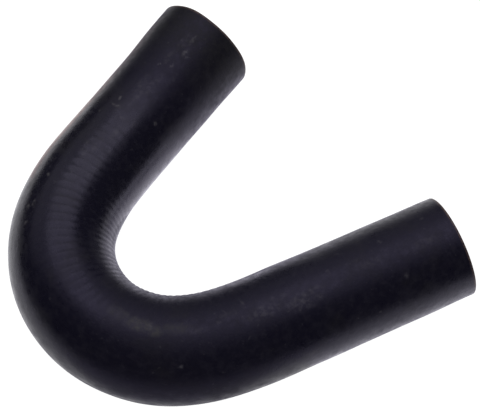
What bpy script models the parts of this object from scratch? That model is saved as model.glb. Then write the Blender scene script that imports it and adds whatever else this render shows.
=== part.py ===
# Moulded heater hose: one piece of rubber with a short leg and a long leg, joined by a bend of 151 degrees.
# It lies on its side. Units are metres, +Z is up and the origin is on the floor under the hose's middle.
# Both mouths look along +X: the short leg is on the +Y side and the long leg on the -Y side.

import math

import bpy
import numpy as np

# Section, square to the centreline
BORE_DIAMETER = 0.0159
WALL = 0.0040
WALL_DRIFT = 0.2  # share of the bending strain that the wall takes up, thicker inside and thinner outside

# Route of the centreline, from the short leg's mouth to the long leg's
SHORT_LEG = 0.0364
SHORT_EASING = 0.0272  # the stretch over which the bend tightens from straight
BEND_RADIUS = 0.0250
BEND_ANGLE = math.radians(150.8)
LONG_EASING = 0.0277
LONG_LEG = 0.0444

# Ends, cut by a blade after curing
SHORT_END_FLARE = 0.00064  # left by the mandrel's collar
FLARE_REACH = 0.0155
LIP_ROUND = 0.0005  # radius of the outer edge of each cut
BORE_LIP_ROUND = 0.0003
CUT_DEPTH = 0.007  # how far in the section starts to lean over to meet the blade's plane
SHORT_CUT_SIDEWAYS = math.radians(2.1)  # off square, positive where the outside of the bend is longer
SHORT_CUT_UPWARDS = math.radians(-3.1)  # off square, positive where the top is longer
LONG_CUT_SIDEWAYS = math.radians(-2.2)
LONG_CUT_UPWARDS = math.radians(-7.0)

# Ribs where the yarn under the cover shows through, as one ring per turn of yarn
RIB_PITCH = 0.0021  # along the centreline, so the ribs crowd together inside the bend
RIB_HEIGHT = 0.00018  # crest to root on the inside of the bend
RIB_LEAST_SHARE = 0.15  # of that height on the outside of the bend
RIB_START = 0.4  # share of each easing that has no ribs yet

# Fineness of the mesh
SIDES = 40
LEG_STEP = 0.006
BORE_STEP = 0.0045
LIP_STEPS = 3
ROUTE_SAMPLES = 4001

# Satin black rubber
RUBBER_COLOUR = (0.012, 0.012, 0.015, 1.0)
RUBBER_ROUGHNESS = 0.45

BORE_RADIUS = BORE_DIAMETER / 2
MIDDLE_RADIUS = BORE_RADIUS + WALL / 2
TIGHTEST = 1 / BEND_RADIUS
EVEN_ARC = BEND_RADIUS * BEND_ANGLE - (SHORT_EASING + LONG_EASING) / 2
KNOTS = np.cumsum([0, SHORT_LEG, SHORT_EASING, EVEN_ARC, LONG_EASING, LONG_LEG])
LENGTH = KNOTS[-1]
AROUND = np.arange(SIDES) * 2 * math.pi / SIDES  # 0 is the outside of the bend and a quarter turn is up


def running_total(values, step):
    """Trapezoid sum of evenly spaced values, starting at 0."""
    return np.concatenate([[0], np.cumsum((values[1:] + values[:-1]) / 2) * step])


def route():
    """Lengths along the centreline, with the curvature, heading, x and y at each."""
    lengths = np.linspace(0, LENGTH, ROUTE_SAMPLES)
    step = lengths[1]
    curvature = np.interp(lengths, KNOTS, [0, 0, TIGHTEST, TIGHTEST, 0, 0])
    first_heading = math.pi + (math.pi - BEND_ANGLE) / 2
    heading = first_heading + running_total(curvature, step)
    return lengths, curvature, heading, running_total(np.cos(heading), step), running_total(np.sin(heading), step)


ROUTE = route()


def bend_at(s):
    """How tight the bend is at a length along the centreline, from 0 on the legs to 1."""
    return np.interp(s, ROUTE[0], ROUTE[1]) / TIGHTEST


def flare_at(s):
    return SHORT_END_FLARE * math.exp(-((s / FLARE_REACH) ** 2))


def wall_around(s):
    """Wall thickness around the section: the mandrel bend squeezes it inside and stretches it outside."""
    strain = bend_at(s) * MIDDLE_RADIUS / BEND_RADIUS * np.cos(AROUND)
    return WALL / (1 + WALL_DRIFT * strain)


def rib_around(s, side):
    """Height of a crest (side 1) or a root (side -1) around the section."""
    inside = (1 - np.cos(AROUND)) / 2
    share = RIB_LEAST_SHARE + (1 - RIB_LEAST_SHARE) * inside**2
    return side * RIB_HEIGHT / 2 * share * bend_at(s) ** 2


def lean_at(s):
    """How far a ring leans along the route, for each metre sideways and upwards, to meet the nearer cut."""
    from_start = max(0, 1 - s / CUT_DEPTH)
    from_end = max(0, 1 - (LENGTH - s) / CUT_DEPTH)
    sideways = from_end * math.tan(LONG_CUT_SIDEWAYS) - from_start * math.tan(SHORT_CUT_SIDEWAYS)
    upwards = from_end * math.tan(LONG_CUT_UPWARDS) - from_start * math.tan(SHORT_CUT_UPWARDS)
    return sideways, upwards


def ring(s, radii):
    """Points of one section: radii around the centreline, which runs level with the underside on the floor."""
    heading, x, y = (np.interp(s, ROUTE[0], values) for values in ROUTE[2:])
    height = BORE_RADIUS + WALL + flare_at(s)
    forward = np.array([math.cos(heading), math.sin(heading), 0])
    outward = np.array([math.sin(heading), -math.cos(heading), 0])
    upward = np.array([0, 0, 1])
    out = radii * np.cos(AROUND)
    up = radii * np.sin(AROUND)
    sideways, upwards = lean_at(s)
    along = sideways * out + upwards * up
    centre = np.array([x, y, height])
    return centre + np.outer(out, outward) + np.outer(up, upward) + np.outer(along, forward)


def lip(round_radius):
    """Steps over a rounded edge: (distance in from the cut, height lost), from the cut face to the side."""
    turns = np.linspace(0, math.pi / 2, LIP_STEPS)
    return [(round_radius * (1 - math.cos(t)), round_radius * (1 - math.sin(t))) for t in turns]


def even_steps(start, end, step):
    """Lengths strictly between start and end, evenly spread at about the step."""
    return np.linspace(start, end, max(2, round((end - start) / step) + 1))[1:-1]


def outer_rings():
    """The cover, from the short leg's cut to the long leg's."""

    def cover(s, sunk=0.0, rib=0):
        return ring(s, BORE_RADIUS + wall_around(s) + flare_at(s) - sunk + rib_around(s, rib))

    ribbed_from = KNOTS[1] + RIB_START * SHORT_EASING
    ribbed_to = KNOTS[4] - RIB_START * LONG_EASING
    turns = round((ribbed_to - ribbed_from) / RIB_PITCH)
    rib_lengths = ribbed_from + np.arange(2 * turns + 1) * RIB_PITCH / 2

    rings = [cover(s, sunk) for s, sunk in lip(LIP_ROUND)]
    rings += [cover(s) for s in (CUT_DEPTH / 2, CUT_DEPTH)]
    rings += [cover(s) for s in even_steps(CUT_DEPTH, rib_lengths[0], LEG_STEP)]
    rings += [cover(s, rib=1 if i % 2 else -1) for i, s in enumerate(rib_lengths)]
    rings += [cover(s) for s in even_steps(rib_lengths[-1], LENGTH - CUT_DEPTH, LEG_STEP)]
    rings += [cover(s) for s in (LENGTH - CUT_DEPTH, LENGTH - CUT_DEPTH / 2)]
    rings += [cover(LENGTH - s, sunk) for s, sunk in reversed(lip(LIP_ROUND))]
    return rings


def bore_rings():
    """The bore, from the long leg's cut back to the short leg's."""

    def tube(s, widened=0.0):
        return ring(s, np.full(SIDES, BORE_RADIUS + flare_at(s) + widened))

    rings = [tube(LENGTH - s, widened) for s, widened in lip(BORE_LIP_ROUND)]
    rings += [tube(s) for s in even_steps(CUT_DEPTH / 2, LENGTH - CUT_DEPTH / 2, BORE_STEP)[::-1]]
    rings += [tube(s, widened) for s, widened in reversed(lip(BORE_LIP_ROUND))]
    return rings


def loft(rings):
    """Closed skin through the rings in turn, the last joined to the first."""
    points = np.concatenate(rings)
    count = len(rings)
    faces = []
    for i in range(count):
        here, there = i * SIDES, (i + 1) % count * SIDES
        for j in range(SIDES):
            k = (j + 1) % SIDES
            faces.append((here + j, there + j, there + k, here + k))
    return points, faces


def stand_on_origin(points):
    """Moves the points so that the middle of their box's underside is at the origin."""
    low, high = points.min(axis=0), points.max(axis=0)
    middle = (low + high) / 2
    return points - [middle[0], middle[1], low[2]]


def rubber():
    material = bpy.data.materials.new("black_rubber")
    material.use_nodes = True
    shader = material.node_tree.nodes["Principled BSDF"]
    shader.inputs["Base Color"].default_value = RUBBER_COLOUR
    shader.inputs["Roughness"].default_value = RUBBER_ROUGHNESS
    shader.inputs["Metallic"].default_value = 0.0
    return material


def make_hose():
    points, faces = loft(outer_rings() + bore_rings())
    mesh = bpy.data.meshes.new("hose")
    mesh.from_pydata(stand_on_origin(points).tolist(), [], faces)
    mesh.materials.append(rubber())
    mesh.shade_smooth()
    mesh.set_sharp_from_angle(angle=math.radians(35))
    hose = bpy.data.objects.new("hose", mesh)
    bpy.context.scene.collection.objects.link(hose)
    return hose


for thing in list(bpy.data.objects):
    bpy.data.objects.remove(thing, do_unlink=True)
make_hose()
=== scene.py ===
import math

import bpy
import numpy as np
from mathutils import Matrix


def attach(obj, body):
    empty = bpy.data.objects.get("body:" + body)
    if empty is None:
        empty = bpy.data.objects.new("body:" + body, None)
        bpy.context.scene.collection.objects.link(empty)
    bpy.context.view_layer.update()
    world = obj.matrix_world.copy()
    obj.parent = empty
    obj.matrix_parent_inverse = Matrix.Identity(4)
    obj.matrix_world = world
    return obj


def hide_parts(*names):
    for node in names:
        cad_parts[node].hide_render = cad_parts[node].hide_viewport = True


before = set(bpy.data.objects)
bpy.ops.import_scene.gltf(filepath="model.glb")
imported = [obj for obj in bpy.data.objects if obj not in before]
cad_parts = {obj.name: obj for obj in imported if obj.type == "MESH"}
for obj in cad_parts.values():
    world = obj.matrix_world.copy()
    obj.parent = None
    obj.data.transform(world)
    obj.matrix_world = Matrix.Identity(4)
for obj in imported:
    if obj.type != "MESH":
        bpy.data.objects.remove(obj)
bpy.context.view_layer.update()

# The hose's route and section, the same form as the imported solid. Metres.
hose = {
    "boreRadius": 0.00795,
    "wall": 0.0040,
    "wallDrift": 0.2,  # share of the bending strain that the wall takes up, thicker inside and thinner outside
    "shortLeg": 0.0364,
    "shortEasing": 0.0272,
    "bendRadius": 0.0250,
    "bendDegrees": 150.8,
    "longEasing": 0.0277,
    "longLeg": 0.0444,
    "flare": 0.00064,  # at the short leg's mouth
    "flareReach": 0.0155,
    "cutDepth": 0.007,  # how far in the rings start to lean over to a cut
    "shortCutDegrees": (2.1, -3.1),  # sideways and upwards, off square
    "longCutDegrees": (-2.2, -7.0),
    "cutWaves": [(0.07, 3, 0.30), (0.05, 5, 0.65), (0.04, 8, 0.10)],  # of the short cut: mm, waves round it, start
    "lipRound": 0.0003,
    "boreLipRound": 0.0002,
}
ribs = {
    "pitch": 0.00212,  # along the centreline
    # Height in mm from crest to root, by mm along the hose: ribs over its top, and ribs inside the bend
    "top": [(32, 0), (42, 0.060), (52, 0.070), (66, 0.068), (76, 0.064), (86, 0.056), (94, 0.046), (106, 0)],
    "inner": [(36, 0), (46, 0.004), (56, 0.022), (62, 0.032), (70, 0.034), (76, 0.050), (84, 0.075), (92, 0.085),
              (104, 0.080), (114, 0.060), (126, 0)],
    # Share of that height by degrees round from the outside of the bend
    "topShare": [(60, 0), (72, 0.15), (84, 0.55), (94, 1), (104, 0.62), (118, 0.22), (135, 0)],
    "innerShare": [(105, 0), (125, 0.20), (134, 0.35), (142, 0.75), (150, 1), (180, 1)],
    # How far the ribs have slid along the hose, in ribs
    "topSlide": [(50, 0.09), (56, 0.13), (62, 0.25), (68, 0.42), (74, 0.66), (80, 0.88), (86, 1.17), (92, 1.22)],
    "innerSlide": [(44, 0.11), (50, 0.30), (56, 0.38), (62, 0.38), (68, 0.28), (74, 0.20), (80, 0.18), (86, 0.27),
                   (92, 0.25), (98, 0.0), (104, -0.30), (110, -0.52)],
    "slideSpan": (108, 138),  # degrees over which one slide turns into the other
    "fullHeight": 0.07,  # at which a crest is as glossy as on most of the hose
    "innerGloss": 1.2,  # how much glossier a crest inside the bend is than one of its height on top
}
# Slow waves of the uneven moulding: height and length in mm, turns round the hose, start in turns
uneven = [(0.028, 47, 1, 0.10), (0.022, 29, -2, 0.55), (0.020, 19, 1, 0.80), (0.014, 12.5, 3, 0.30)]
fineness = {  # sides round the hose, and steps along it in metres
    "around": 144,
    "bendStep": 0.00025,
    "legStep": 0.0010,
    "boreStep": 0.0025,
    "lipSteps": 7,
    "routeSamples": 6001,
    "sharpDegrees": 50,
}


# Shader maths: a Wire is one socket, and an expression on wires adds its Math nodes.
class Wire:
    def __init__(self, tree, socket):
        self.tree = tree
        self.socket = socket

    def node(self, kind, settings, sockets, output=0):
        made = self.tree.nodes.new("ShaderNode" + kind)
        for name, value in settings.items():
            if name == "stops":
                setStops(made.color_ramp, value)
            else:
                setattr(made, name, value)
        for name, value in sockets.items():
            if isinstance(value, Wire):
                self.tree.links.new(value.socket, made.inputs[name])
            else:
                made.inputs[name].default_value = value
        return Wire(self.tree, made.outputs[output])

    def maths(self, operation, first, second=0.0):
        return self.node("Math", {"operation": operation}, {0: first, 1: second})

    def __add__(self, other): return self.maths("ADD", self, other)
    def __radd__(self, other): return self.maths("ADD", other, self)
    def __sub__(self, other): return self.maths("SUBTRACT", self, other)
    def __rsub__(self, other): return self.maths("SUBTRACT", other, self)
    def __mul__(self, other): return self.maths("MULTIPLY", self, other)
    def __rmul__(self, other): return self.maths("MULTIPLY", other, self)
    def __truediv__(self, other): return self.maths("DIVIDE", self, other)
    def __rtruediv__(self, other): return self.maths("DIVIDE", other, self)

    def largest(self, other): return self.maths("MAXIMUM", self, other)
    def smallest(self, other): return self.maths("MINIMUM", self, other)

    def between(self, low, high, start=0.0, end=1.0):  # smooth step from low to high
        return self.node("MapRange", {"interpolation_type": "SMOOTHSTEP"},
                         {"Value": self, "From Min": low, "From Max": high, "To Min": start, "To Max": end})


def setStops(ramp, stops):
    while len(ramp.elements) > 1:
        ramp.elements.remove(ramp.elements[-1])
    for i, (place, shade) in enumerate(stops):
        stop = ramp.elements[0] if i == 0 else ramp.elements.new(place)
        stop.position = place
        stop.color = shade


def mixColour(factor, first, second):
    return factor.node("Mix", {"data_type": "RGBA"}, {0: factor, 6: first, 7: second}, output=2)


def newMaterial(name):
    material = bpy.data.materials.new(name)
    material.use_nodes = True
    tree = material.node_tree
    shader = tree.nodes["Principled BSDF"]
    return material, tree, shader


def addBump(shader, height):  # height in metres
    bump = height.node("Bump", {}, {"Height": height, "Distance": 1.0, "Strength": 1.0})
    height.tree.links.new(bump.socket, shader.inputs["Normal"])


def grey(value):
    return (value, value, value, 1.0)


# Route of the centreline: straight, easing in, even arc, easing out, straight
def runningTotal(values, step):
    return np.concatenate([[0], np.cumsum((values[1:] + values[:-1]) / 2) * step])


def makeRoute():
    turn = math.radians(hose["bendDegrees"])
    evenArc = hose["bendRadius"] * turn - (hose["shortEasing"] + hose["longEasing"]) / 2
    spans = [0, hose["shortLeg"], hose["shortEasing"], evenArc, hose["longEasing"], hose["longLeg"]]
    knots = np.cumsum(spans)
    along = np.linspace(0, knots[-1], fineness["routeSamples"])
    step = along[1]
    bend = np.interp(along, knots, [0, 0, 1, 1, 0, 0])
    heading = math.pi + (math.pi - turn) / 2 + runningTotal(bend / hose["bendRadius"], step)
    x = runningTotal(np.cos(heading), step)
    y = runningTotal(np.sin(heading), step)
    return {"knots": knots, "length": knots[-1], "along": along, "bend": bend, "heading": heading, "x": x, "y": y}


route = makeRoute()


def onRoute(name, s):
    return np.interp(s, route["along"], route[name])


def flareAt(s):
    return hose["flare"] * np.exp(-((s / hose["flareReach"]) ** 2))


def leanAt(s):
    # How far a ring leans along the route to meet the nearer cut, for each metre sideways and upwards
    fromStart = np.maximum(0, 1 - s / hose["cutDepth"])
    fromEnd = np.maximum(0, 1 - (route["length"] - s) / hose["cutDepth"])
    leans = []
    for shortCut, longCut in zip(hose["shortCutDegrees"], hose["longCutDegrees"]):
        leans.append(fromEnd * math.tan(math.radians(longCut)) - fromStart * math.tan(math.radians(shortCut)))
    return leans


def sections(s, around, radii):
    # Rings of points square to the route, one row for each length s
    s = s[:, None]
    heading, x, y = (onRoute(name, s) for name in ("heading", "x", "y"))
    out = radii * np.cos(around)
    up = radii * np.sin(around)
    sideways, upwards = leanAt(s)
    waves = sum(size / 1000 * np.sin(count * around + 2 * math.pi * start)
                for size, count, start in hose["cutWaves"])
    forward = sideways * out + upwards * up + waves * np.maximum(0, 1 - s / hose["cutDepth"])
    height = hose["boreRadius"] + hose["wall"] + flareAt(s)
    px = x + out * np.sin(heading) + forward * np.cos(heading)
    py = y - out * np.cos(heading) + forward * np.sin(heading)
    pz = up + height
    return np.stack(np.broadcast_arrays(px, py, pz), axis=-1)


def ribWave(s, around):
    # How far the skin stands out, and its place between root and crest: -1 to 1, or beyond where the ribs are high
    top, inner, topSlide, innerSlide = (
        np.interp(s * 1000, *zip(*ribs[name])) for name in ("top", "inner", "topSlide", "innerSlide"))
    degrees = np.degrees(np.arccos(np.cos(around)))
    topShare, innerShare = (np.interp(degrees, *zip(*ribs[name])) for name in ("topShare", "innerShare"))
    slide = topSlide + np.interp(degrees, ribs["slideSpan"], (0, 1)) * (innerSlide - topSlide)
    top, inner = top * topShare, inner * innerShare
    wave = np.cos(2 * math.pi * (s / ribs["pitch"] + slide))
    halfHeight = (top + inner) / 2 / 1000
    return halfHeight * wave, (top + inner * ribs["innerGloss"]) / ribs["fullHeight"] * wave


def unevenHeight(s, around):
    waves = (size * np.sin(2 * math.pi * (s * 1000 / length + start) + turns * around)
             for size, length, turns, start in uneven)
    return sum(waves) / 1000


def coverRadius(s, around):
    strain = onRoute("bend", s) * (hose["boreRadius"] + hose["wall"] / 2) / hose["bendRadius"] * np.cos(around)
    wall = hose["wall"] / (1 + hose["wallDrift"] * strain)
    return hose["boreRadius"] + wall + flareAt(s) + ribWave(s, around)[0] + unevenHeight(s, around)


def steps(start, end, size):
    return np.linspace(start, end, max(2, round((end - start) / size) + 1))


def lipProfile(radius):
    # Rounded edge of a cut: distances in from the cut, and how far the skin is sunk there
    turns = np.linspace(0, math.pi / 2, fineness["lipSteps"])
    return radius * (1 - np.cos(turns)), radius * (1 - np.sin(turns))


def makeHose():
    length, knots = route["length"], route["knots"]
    around = np.arange(fineness["around"]) * 2 * math.pi / fineness["around"]
    ribbed = (knots[1], knots[4])

    # Rings of the cover, from the short cut to the long one, and of the bore on the way back
    inward, sunk = lipProfile(hose["lipRound"])
    body = np.concatenate([
        steps(inward[-1], ribbed[0], fineness["legStep"])[1:],
        steps(ribbed[0], ribbed[1], fineness["bendStep"])[1:],
        steps(ribbed[1], length - inward[-1], fineness["legStep"])[1:-1],
    ])
    coverAlong = np.concatenate([inward, body, (length - inward)[::-1]])
    coverSunk = np.concatenate([sunk, np.zeros(len(body)), sunk[::-1]])

    inward, widened = lipProfile(hose["boreLipRound"])
    tube = steps(inward[-1], length - inward[-1], fineness["boreStep"])[1:-1]
    boreAlong = np.concatenate([length - inward, tube[::-1], inward[::-1]])
    boreWider = np.concatenate([widened, np.zeros(len(tube)), widened[::-1]])

    coverPoints = sections(coverAlong, around, coverRadius(coverAlong[:, None], around) - coverSunk[:, None])
    boreRadii = hose["boreRadius"] + flareAt(boreAlong) + boreWider
    borePoints = sections(boreAlong, around, boreRadii[:, None] * np.ones_like(around))
    points = np.concatenate([coverPoints, borePoints])
    rings, sides = points.shape[:2]

    # The straightened hose: length along it, and sideways and up from its centreline
    allAlong = np.concatenate([coverAlong, boreAlong])
    allRadii = np.concatenate([np.full(len(coverAlong), hose["boreRadius"] + hose["wall"]), boreRadii])
    straight = np.stack(np.broadcast_arrays(
        allAlong[:, None], allRadii[:, None] * np.cos(around), allRadii[:, None] * np.sin(around)), axis=-1)

    here = np.arange(rings)[:, None] * sides
    there = (np.arange(rings)[:, None] + 1) % rings * sides
    j = np.arange(sides)[None]
    k = (j + 1) % sides
    faces = np.stack([here + j, there + j, there + k, here + k], axis=-1)
    firstBore = len(coverAlong)
    zones = np.zeros(rings, int)  # material of the faces after each ring: 0 cover, 1 cut faces, 2 bore
    zones[firstBore:] = 2
    zones[[firstBore - 1, rings - 1]] = 1

    # The middle of the underside goes to the origin, as in the solid
    flat = points.reshape(-1, 3)
    low, high = flat.min(axis=0), flat.max(axis=0)
    middle = (low + high) / 2
    flat = flat - [middle[0], middle[1], low[2]]

    mesh = bpy.data.meshes.new("hose_dressed")
    mesh.from_pydata(flat.tolist(), [], faces.reshape(-1, 4).tolist())
    layer = mesh.attributes.new("straight", "FLOAT_VECTOR", "POINT")
    layer.data.foreach_set("vector", straight.reshape(-1).astype(np.float32))
    crest = np.concatenate([ribWave(coverAlong[:, None], around)[1], np.zeros(borePoints.shape[:2])])
    layer = mesh.attributes.new("crest", "FLOAT", "POINT")
    layer.data.foreach_set("value", crest.reshape(-1).astype(np.float32))
    mesh.polygons.foreach_set("material_index", np.repeat(zones, sides).astype(np.int32))
    mesh.shade_smooth()
    mesh.set_sharp_from_angle(angle=math.radians(fineness["sharpDegrees"]))
    made = bpy.data.objects.new("hose_dressed", mesh)
    bpy.context.scene.collection.objects.link(made)
    return made


# Satin cover, with a faint bloom, dust and small scuffs, and rib crests made lighter, partly by dust and partly as
# a painted highlight. A span gives two values of a noise, or two distances in metres, and then what they turn
# into.
cover = {
    "blue": (0.0040, 0.0036, 0.0104, 1.0),
    "olive": (0.0064, 0.0060, 0.0100, 1.0),
    "oliveSpan": (0.48, 0.72),  # of the blotches
    "dull": (0.0068, 0.0070, 0.0074, 1.0),  # the short leg's last millimetres
    "dullSpan": (0.005, 0.020, 1.0, 0.0),
    "dullSpeckle": (0.3, 0.6, 0.5, 1.0),
    "lip": (0.080, 0.053, 0.045, 1.0),  # warm raw edge of each cut
    "lipSpan": (0.0004, 0.0009, 1.0, 0.0),
    "lipGrain": (0.35, 0.6, 0.3, 1.0),
    # Noises: metres across a blob, and detail
    "blotches": (0.009, 3.0),
    "speckles": (0.0016, 3.0),
    "grains": (0.0006, 2.0),
    "clumps": (0.0011, 4.0),
    "specks": (0.0011, 2.0),
    "noiseRoughness": 0.6,
    # Dust and painted highlight: pale specks and scuffs of dust, and lighter crests that are partly dust and
    # partly a painted highlight along the ribs; and how much of it each noise leaves
    "dustAndHighlight": (0.20, 0.19, 0.19, 1.0),
    "clumpSpan": (0.40, 0.62, 0.1, 1.0),  # breaks up the marks
    "grainDust": (0.35, 0.75, 0.0, 0.010),
    "speckleDust": (0.45, 0.70, 0.0, 0.014),
    "speckDust": (0.66, 0.74, 0.0, 0.050),
    # Lighter crests: partly dust, partly a painted highlight along the ribs
    "crestDustAndHighlight": 0.006,
    # By mm along the hose: roughness of the rubber, and weight of a thin shiny skin
    "roughness": [(0, 0.50), (12, 0.50), (22, 0.42), (36, 0.26), (60, 0.27), (72, 0.30), (88, 0.36), (96, 0.42),
                  (104, 0.46), (115, 0.45), (125, 0.37), (135, 0.35), (147, 0.40), (174, 0.36)],
    "gloss": [(0, 0), (22, 0), (32, 0.12), (40, 0.15), (56, 0.15), (66, 0.08), (76, 0.02), (90, 0)],
    "glossSpan": (0.3, 0.7, 1.3, 0.7),  # of the blotches
    "glossRoughness": 0.24,
    "blotchRoughness": 0.24,
    "speckleRoughness": 0.50,
    "crestGloss": 0.035,
    "speckleDepth": 0.000032,
    "grainShare": 0.6,  # of the speckles' depth
    "crestDepth": 0.000012,
    "combDepth": 0.000010,  # of the fine streaks round the hose
    "combScale": 1500.0,
    "combSqueeze": (1.0, 0.15, 0.15),
    "ior": 1.38,
    "tint": (0.64, 0.58, 0.90, 1.0),
    "bloom": 0.18,  # sheen of a faint bluish bloom
    "bloomSpread": 0.28,
    "bloomTint": (0.55, 0.46, 1.0, 1.0),
    "ragged": 0.0012,  # how far a mark's edge wanders
    "raggedScale": 900.0,
    "edgeSpan": (0.2, 1.0),  # from a mark's middle, over which it fades
    "marks": [  # mm along, degrees round from the outside of the bend, half length and half width in mm, strength
        (8.0, 98, 2.4, 0.7, 0.14), (11.5, 101, 1.8, 0.8, 0.20), (12.2, 105, 1.2, 0.5, 0.17),
        (16.4, 99, 0.8, 0.5, 0.26), (17.5, 86, 0.7, 0.6, 0.29), (24.0, 85.5, 4.5, 1.4, 0.07),
        (30.2, 77, 1.1, 0.6, 0.34), (32.3, 78.5, 0.7, 1.2, 0.65), (35.3, 67, 0.6, 0.6, 0.17),
        (34.2, 95, 0.8, 1.3, 0.10), (34.0, 109, 1.2, 0.7, 0.12), (30.0, 127, 0.7, 0.6, 0.26),
        (45.5, 54, 1.3, 0.7, 0.17), (54.1, 63, 0.7, 0.7, 0.34), (60.7, 60, 1.2, 0.7, 0.42),
        (61.2, 52.5, 1.0, 0.8, 0.29), (64.3, 54, 0.8, 0.8, 0.29), (45.0, 83, 2.2, 0.6, 0.09),
        (46.5, 88, 2.2, 0.8, 0.07), (50.5, 59, 0.7, 0.6, 0.13), (100.5, 93, 0.9, 2.0, 0.06),
        (106.8, 52, 0.6, 0.6, 0.17), (115.5, 91, 1.6, 0.6, 0.09), (125.0, 85, 5.5, 2.2, 0.09),
        (134.0, 80, 6.0, 2.8, 0.10), (137.0, 86, 4.0, 1.0, 0.07), (141.6, 97, 0.6, 1.4, 0.10),
        (121.6, 103, 0.7, 1.8, 0.09), (132.0, 20, 3.5, 1.0, 0.10), (143.5, 38.5, 0.7, 0.4, 0.26),
        (149.0, 35, 0.6, 0.4, 0.17), (157.0, 62, 1.0, 1.3, 0.09), (148.5, 97, 0.7, 0.8, 0.09),
        (155.5, 107, 0.9, 1.0, 0.10), (167.0, 113, 1.1, 0.6, 0.10), (164.0, 85, 4.5, 1.8, 0.05),
        # Soft streaks along the legs
        (9.5, 92, 4.5, 1.1, 0.05), (15.0, 90, 3.5, 0.9, 0.06), (22.5, 97, 5.0, 1.2, 0.07),
        (28.0, 92, 4.5, 1.0, 0.07), (19.0, 109, 3.0, 0.8, 0.06), (38.0, 101, 4.5, 1.0, 0.07),
        (43.5, 93, 3.5, 0.9, 0.07), (33.0, 84, 3.0, 0.8, 0.07), (110.0, 87, 4.0, 1.2, 0.05),
        (117.5, 96, 4.0, 1.0, 0.05), (129.0, 93, 5.0, 1.2, 0.05), (151.0, 88, 5.0, 1.4, 0.05),
        # On the underside, a few like the others
        (40.0, 250, 3.0, 1.5, 0.13), (70.0, 300, 2.0, 1.0, 0.17), (95.0, 215, 1.0, 0.8, 0.26),
        (120.0, 285, 5.0, 2.5, 0.09), (140.0, 235, 1.0, 1.2, 0.20), (158.0, 320, 2.0, 0.8, 0.17),
        (15.0, 210, 1.5, 0.8, 0.20),
    ],
    "smear": (0.17, 0.17, 0.115, 1.0),  # brownish dirt
    "smearSpeckle": (0.35, 0.65, 0.35, 1.2),
    "smears": [(98.0, 91, 4.5, 2.2, 0.16), (101.5, 88, 3.0, 1.8, 0.12), (93.0, 95, 4.5, 2.0, 0.08),
               (106.0, 91, 5.5, 2.0, 0.07), (92.7, 1, 0.9, 0.9, 0.10)],
}


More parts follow.
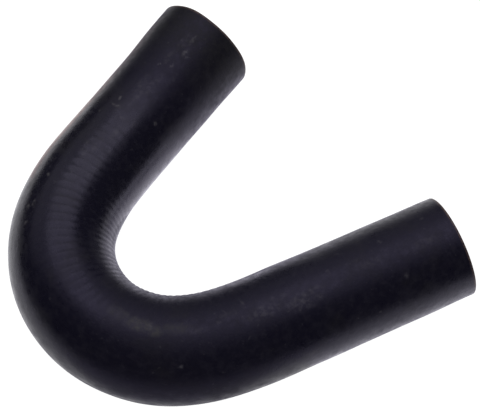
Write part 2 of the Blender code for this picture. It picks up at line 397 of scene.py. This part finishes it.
def coverMaterial():
    material, tree, shader = newMaterial("rubber_cover")
    straight = Wire(tree, None).node("Attribute", {"attribute_name": "straight"}, {}, output=1)
    crest = straight.node("Attribute", {"attribute_name": "crest"}, {}, output=2)
    along = straight.node("SeparateXYZ", {}, {"Vector": straight})

    def noise(name):
        size, detail = cover[name]
        return straight.node("TexNoise", {}, {
            "Vector": straight, "Scale": 1 / size, "Detail": detail, "Roughness": cover["noiseRoughness"]})

    blotch, speckle, grain = noise("blotches"), noise("speckles"), noise("grains")
    squeezed = straight.node("VectorMath", {"operation": "MULTIPLY"}, {0: straight, 1: cover["combSqueeze"]})
    comb = squeezed.node("TexNoise", {}, {"Vector": squeezed, "Scale": cover["combScale"], "Detail": 2.0})

    # A point near this one, for ragged edges
    wander = straight.node("TexNoise", {}, {
        "Vector": straight, "Scale": cover["raggedScale"], "Detail": 3.0}, output=1)
    shifted = wander.node("VectorMath", {"operation": "MULTIPLY_ADD"}, {
        0: wander, 1: (cover["ragged"],) * 3, 2: (-cover["ragged"] / 2,) * 3})
    place = shifted.node("VectorMath", {"operation": "ADD"}, {0: shifted, 1: straight})
    outside = hose["boreRadius"] + hose["wall"]

    def ellipses(spots):  # strength of the strongest spot
        every = None
        for length, degrees, halfLength, halfWidth, strength in spots:
            turn = math.radians(degrees)
            centre = (length / 1000, outside * math.cos(turn), outside * math.sin(turn))
            scale = (1000 / halfLength, 1000 / halfWidth, 1000 / halfWidth)
            offset = place.node("VectorMath", {"operation": "SUBTRACT"}, {0: place, 1: centre})
            offset = offset.node("VectorMath", {"operation": "MULTIPLY"}, {0: offset, 1: scale})
            distance = offset.node("VectorMath", {"operation": "LENGTH"}, {0: offset}, output=1)
            spot = distance.between(*cover["edgeSpan"], strength, 0.0)
            every = spot if every is None else every.largest(spot)
        return every

    dustAndHighlight = ellipses(cover["marks"]) * noise("clumps").between(*cover["clumpSpan"])
    dustAndHighlight = dustAndHighlight + grain.between(*cover["grainDust"]) + speckle.between(*cover["speckleDust"])
    # The crests' share is partly dust and partly a painted highlight along the ribs
    dustAndHighlight = dustAndHighlight + noise("specks").between(*cover["speckDust"]) + (crest + 1).smallest(2.0) * cover["crestDustAndHighlight"]
    smears = ellipses(cover["smears"]) * speckle.between(*cover["smearSpeckle"])
    dull = along.between(*cover["dullSpan"]) * speckle.between(*cover["dullSpeckle"])
    lip = along.smallest(route["length"] - along).between(*cover["lipSpan"]) * grain.between(*cover["lipGrain"])

    colour = mixColour(blotch.between(*cover["oliveSpan"]), cover["blue"], cover["olive"])
    for share, name in ((dull, "dull"), (smears, "smear"), (dustAndHighlight, "dustAndHighlight"), (lip, "lip")):
        colour = mixColour(share, colour, cover[name])
    tree.links.new(colour.socket, shader.inputs["Base Color"])

    evenly = along / route["length"]

    def byLength(name):
        stops = [(place / 1000 / route["length"], grey(value)) for place, value in cover[name]]
        return evenly.node("ValToRGB", {"stops": stops}, {"Fac": evenly})

    rough = byLength("roughness") - crest * cover["crestGloss"]
    rough = rough + (blotch - 0.5) * cover["blotchRoughness"] + (speckle - 0.5) * cover["speckleRoughness"]
    tree.links.new(rough.socket, shader.inputs["Roughness"])
    gloss = byLength("gloss") * blotch.between(*cover["glossSpan"])
    tree.links.new(gloss.socket, shader.inputs["Coat Weight"])
    shader.inputs["Coat Roughness"].default_value = cover["glossRoughness"]

    height = (speckle + grain * cover["grainShare"]) * cover["speckleDepth"]
    addBump(shader, height + crest * cover["crestDepth"] + comb * cover["combDepth"])
    shader.inputs["IOR"].default_value = cover["ior"]
    shader.inputs["Specular Tint"].default_value = cover["tint"]
    shader.inputs["Sheen Weight"].default_value = cover["bloom"]
    shader.inputs["Sheen Tint"].default_value = cover["bloomTint"]
    shader.inputs["Sheen Roughness"].default_value = cover["bloomSpread"]
    return material


# Cut faces, with the blade's faint scores and a dusting
cut = {
    "colour": (0.011, 0.010, 0.012, 1.0),
    "worn": (0.024, 0.022, 0.023, 1.0),
    "roughness": (0.58, 0.78),
    "squeeze": (1.0, 0.12, 1.0),
    "grain": 0.0005,
    "depth": 0.00003,
}
# Bore, with faint lines along it from the mandrel
bore = {
    "colour": (0.008, 0.008, 0.010, 1.0),
    "worn": (0.016, 0.016, 0.018, 1.0),
    "roughness": (0.42, 0.62),
    "squeeze": (0.06, 1.0, 1.0),
    "grain": 0.0008,
    "depth": 0.00004,
}
# What both share: spans of the lines' and the clouds' noise, and the wear or roughness that they turn into
bareRubber = {
    "wornLines": (0.45, 0.75, 0.0, 0.5),
    "wornClouds": (0.45, 0.70, 0.0, 0.5),
    "roughLines": (0.3, 0.7),
    "cloud": 0.004,
}


def bareMaterial(name, look):
    material, tree, shader = newMaterial(name)
    straight = Wire(tree, None).node("Attribute", {"attribute_name": "straight"}, {}, output=1)
    drawn = straight.node("VectorMath", {"operation": "MULTIPLY"}, {0: straight, 1: look["squeeze"]})
    lines = drawn.node("TexNoise", {}, {"Vector": drawn, "Scale": 1 / look["grain"], "Detail": 3.0})
    clouds = straight.node("TexNoise", {}, {"Vector": straight, "Scale": 1 / bareRubber["cloud"], "Detail": 4.0})
    worn = lines.between(*bareRubber["wornLines"]) + clouds.between(*bareRubber["wornClouds"])
    tree.links.new(mixColour(worn, look["colour"], look["worn"]).socket, shader.inputs["Base Color"])
    rough = lines.between(*bareRubber["roughLines"], *look["roughness"])
    tree.links.new(rough.socket, shader.inputs["Roughness"])
    addBump(shader, lines * look["depth"])
    return material


dressed = makeHose()
print("hose:", len(dressed.data.polygons), "faces")
for material in (coverMaterial(), bareMaterial("cut_rubber", cut), bareMaterial("bore_rubber", bore)):
    dressed.data.materials.append(material)
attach(dressed, "root")
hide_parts("hose")
print("rubber: cover, cut faces and bore")


# Studio: a white floor inside a dark tent, with soft panels behind the hose, over it and at its side.
# Angles are turned from +X towards +Y. A light is the colour of a card's glow.
studio = {
    "floorSide": 4.0,
    "floorGlow": 1.0,
    "floorColour": (0.16, 0.16, 0.16, 1.0),
    "fill": 0.5,
    "panelTurn": -39.5,
    "panels": {  # place, width and depth, radiance
        "back_panel": ((0.27, 0.32, 0.92), (1.10, 0.72), 1.15),
        "top_panel": ((0.05, 0.05, 1.30), (1.30, 1.30), 0.40),
        "side_panel": ((0.43, -0.28, 1.10), (0.60, 0.60), 0.45),
    },
    "tentProfile": [(0.13, 0.002), (1.0, 0.4), (1.4, 1.0), (1.0, 1.6), (0.001, 1.7)],  # radius and height
    "tentSteps": 72,
    "tentGlow": 0.04,
    # Glowing patches on the tent which only reflections see: painted reflections of brighter surroundings
    "cards": {  # on the tent: from and to degrees, from and to height, glow
        "low_card": ((-10, 62), (0.0, 0.4), 0.2),
        "high_card": ((20, 125), (0.4, 1.3), 0.5),
    },
    # Cards on the floor, each a little higher than the last: the shade, the disc of painted shade inside the bend,
    # then the strips
    "cardHeight": 0.001,
    "cardGap": 0.0002,
    "shadeCentre": (-0.0078, 0.001),
    "shadeDegrees": (180, 274),
    "shadeRadii": (0.041, 0.075, 0.125),  # near edge at its middle and its ends, and far edge
    "shadeSteps": 48,
    "shadeTaper": 4,
    "shadeLight": (0.56, 0.54, 0.63, 1.0),
    # Painted shade: a dim disc for the floor's shadow inside the bend, between the legs
    "shade_inside_bend": ((0.010, 0.002), 0.016, (0.36, 0.34, 0.44, 1.0)),  # centre, radius, light
    "discSides": 32,
    "legs": {  # mouth of each leg on the floor, and the way into it in degrees
        "short": ((0.0333, 0.0386), 194.6),
        "long": ((0.0413, -0.0394), 165.4),
    },
    # Strips that only reflections see. Those lighter than the floor give painted reflections along the legs' rims,
    # short_outer_strip a warm painted reflection
    "strips": {  # leg, from and to along it, from and to across it, light
        "short_strip": ("short", (-0.006, 0.044), (0.004, 0.034), (1.38, 1.34, 1.50, 1.0)),
        # Darker than the floor: painted shade of the floor inside the bend, between the legs
        "bend_strip": ("short", (0.044, 0.072), (0.006, 0.032), (0.74, 0.72, 0.82, 1.0)),
        "short_outer_strip": ("short", (-0.010, 0.050), (-0.040, -0.007), (1.05, 0.90, 0.86, 1.0)),
        "long_strip": ("long", (-0.006, 0.036), (-0.026, -0.004), (1.42, 1.40, 1.5, 1.0)),
        "outer_strip": ("long", (-0.006, 0.040), (0.006, 0.028), (1.27, 1.25, 1.35, 1.0)),
    },
}


def seenRays(wire):
    # Camera, glossy and transmission rays, which see the white surroundings
    camera, glossy, through = (wire.node("LightPath", {}, {}, output=name)
                               for name in ("Is Camera Ray", "Is Glossy Ray", "Is Transmission Ray"))
    return camera.largest(glossy).largest(through)


def makeFloor():
    half = studio["floorSide"] / 2
    mesh = bpy.data.meshes.new("floor")
    mesh.from_pydata([(-half, -half, 0), (half, -half, 0), (half, half, 0), (-half, half, 0)], [], [(0, 1, 2, 3)])
    floor = bpy.data.objects.new("floor", mesh)
    bpy.context.scene.collection.objects.link(floor)
    material, tree, shader = newMaterial("pale_floor")
    shader.inputs["Base Color"].default_value = studio["floorColour"]
    shader.inputs["Roughness"].default_value = 1.0
    shader.inputs["Specular IOR Level"].default_value = 0.0
    shader.inputs["Emission Color"].default_value = grey(1.0)
    glow = seenRays(Wire(tree, None)) * studio["floorGlow"]
    tree.links.new(glow.socket, shader.inputs["Emission Strength"])
    mesh.materials.append(material)


def flatMaterial(name, light):
    material, tree, shader = newMaterial(name)
    tree.nodes.remove(shader)
    shine = Wire(tree, None).node("Emission", {}, {"Color": light, "Strength": 1.0})
    tree.links.new(shine.socket, tree.nodes["Material Output"].inputs["Surface"])
    return material


def makeCard(name, points, faces, *materials):
    # A card that only reflections see
    mesh = bpy.data.meshes.new(name)
    mesh.from_pydata(points, [], faces)
    for material in materials:
        mesh.materials.append(material)
    card = bpy.data.objects.new(name, mesh)
    bpy.context.scene.collection.objects.link(card)
    card.visible_camera = False
    card.visible_diffuse = False
    card.visible_shadow = False
    card.visible_transmission = False
    return card


def makeTent():
    # Its profile turned about the upright line through the origin
    profile, count = studio["tentProfile"], studio["tentSteps"]
    rows = len(profile)
    points, faces = [], []
    for i in range(count):
        a = 2 * math.pi * i / count
        points += [(r * math.cos(a), r * math.sin(a), z) for r, z in profile]
        k = (i + 1) % count
        faces += [(rows * i + m, rows * k + m, rows * k + m + 1, rows * i + m + 1) for m in range(rows - 1)]
    shades = [flatMaterial("dark_tent", grey(studio["tentGlow"]))]
    shades += [flatMaterial(name, grey(glow)) for name, (_, _, glow) in studio["cards"].items()]
    tent = makeCard("tent", points, faces, *shades)
    for polygon in tent.data.polygons:
        angle = math.degrees(math.atan2(polygon.center.y, polygon.center.x))
        for i, ((start, end), (low, high), _) in enumerate(studio["cards"].values()):
            if start <= angle <= end and low <= polygon.center.z < high:
                polygon.material_index = i + 1


def makeShade():
    # A crescent in front of the bend, where the floor lies in the hose's own shadow
    nearest, widest, far = studio["shadeRadii"]
    (x, y), (low, high), count = studio["shadeCentre"], studio["shadeDegrees"], studio["shadeSteps"]
    points = []
    for i in range(count + 1):
        a = math.radians(low + (high - low) * i / count)
        near = nearest + (widest - nearest) * abs(2 * i / count - 1) ** studio["shadeTaper"]
        points += [(x + r * math.cos(a), y + r * math.sin(a), studio["cardHeight"]) for r in (near, far)]
    faces = [(2 * i, 2 * i + 2, 2 * i + 3, 2 * i + 1) for i in range(count)]
    makeCard("floor_shade", points, faces, flatMaterial("shade", studio["shadeLight"]))


def makeDisc():
    # Painted shade: a dim disc for the floor's shadow inside the bend, between the legs
    (x, y), radius, light = studio["shade_inside_bend"]
    sides = studio["discSides"]
    height = studio["cardHeight"] + studio["cardGap"]
    turns = [2 * math.pi * i / sides for i in range(sides)]
    points = [(x + radius * math.cos(a), y + radius * math.sin(a), height) for a in turns]
    makeCard("shade_inside_bend", points, [tuple(range(sides))], flatMaterial("dim", light))


def makeStrips():
    height = studio["cardHeight"] + studio["cardGap"]
    for name, (leg, (start, end), (near, far), light) in studio["strips"].items():
        (x, y), degrees = studio["legs"][leg]
        a = math.radians(degrees)
        height += studio["cardGap"]
        corners = ((start, near), (end, near), (end, far), (start, far))
        points = [(x + along * math.cos(a) - across * math.sin(a),
                   y + along * math.sin(a) + across * math.cos(a), height) for along, across in corners]
        makeCard(name, points, [(0, 1, 2, 3)], flatMaterial(name, light))


def makePanels():
    for name, (place, (width, depth), radiance) in studio["panels"].items():
        light = bpy.data.lights.new(name, "AREA")
        light.shape = "ELLIPSE"
        light.size = width
        light.size_y = depth
        # A lamp of radiance L has power L x area x pi
        light.energy = radiance * math.pi * width * depth / 4 * math.pi
        lamp = bpy.data.objects.new(name, light)
        lamp.location = place
        lamp.rotation_euler.z = math.radians(studio["panelTurn"])
        lamp.visible_camera = False
        bpy.context.scene.collection.objects.link(lamp)


def makeWorld():
    world = bpy.data.worlds.new("studio")
    world.use_nodes = True
    bpy.context.scene.world = world
    tree = world.node_tree
    background = tree.nodes["Background"]
    background.inputs["Color"].default_value = grey(1.0)
    fill = studio["fill"]
    strength = seenRays(Wire(tree, None)) * (1 - fill) + fill
    tree.links.new(strength.socket, background.inputs["Strength"])


makeFloor()
makeTent()
makeShade()
makeDisc()
makeStrips()
makePanels()
makeWorld()
print("studio made")

# Camera at the photograph's angle
view = {
    "place": (-0.096852, -0.109022, 0.292602),
    "turnDegrees": (28.5062, -2.2717, -40.6851),
    "lens": 104.03,
    "sensor": 36.0,
    "nearest": 0.01,
}


def makeCamera():
    data = bpy.data.cameras.new("camera")
    data.lens = view["lens"]
    data.sensor_width = view["sensor"]
    data.sensor_fit = "HORIZONTAL"
    data.clip_start = view["nearest"]
    camera = bpy.data.objects.new("camera", data)
    camera.location = view["place"]
    camera.rotation_euler = [math.radians(turn) for turn in view["turnDegrees"]]
    bpy.context.scene.collection.objects.link(camera)
    bpy.context.scene.camera = camera


makeCamera()
bpy.context.scene.view_settings.view_transform = "Standard"
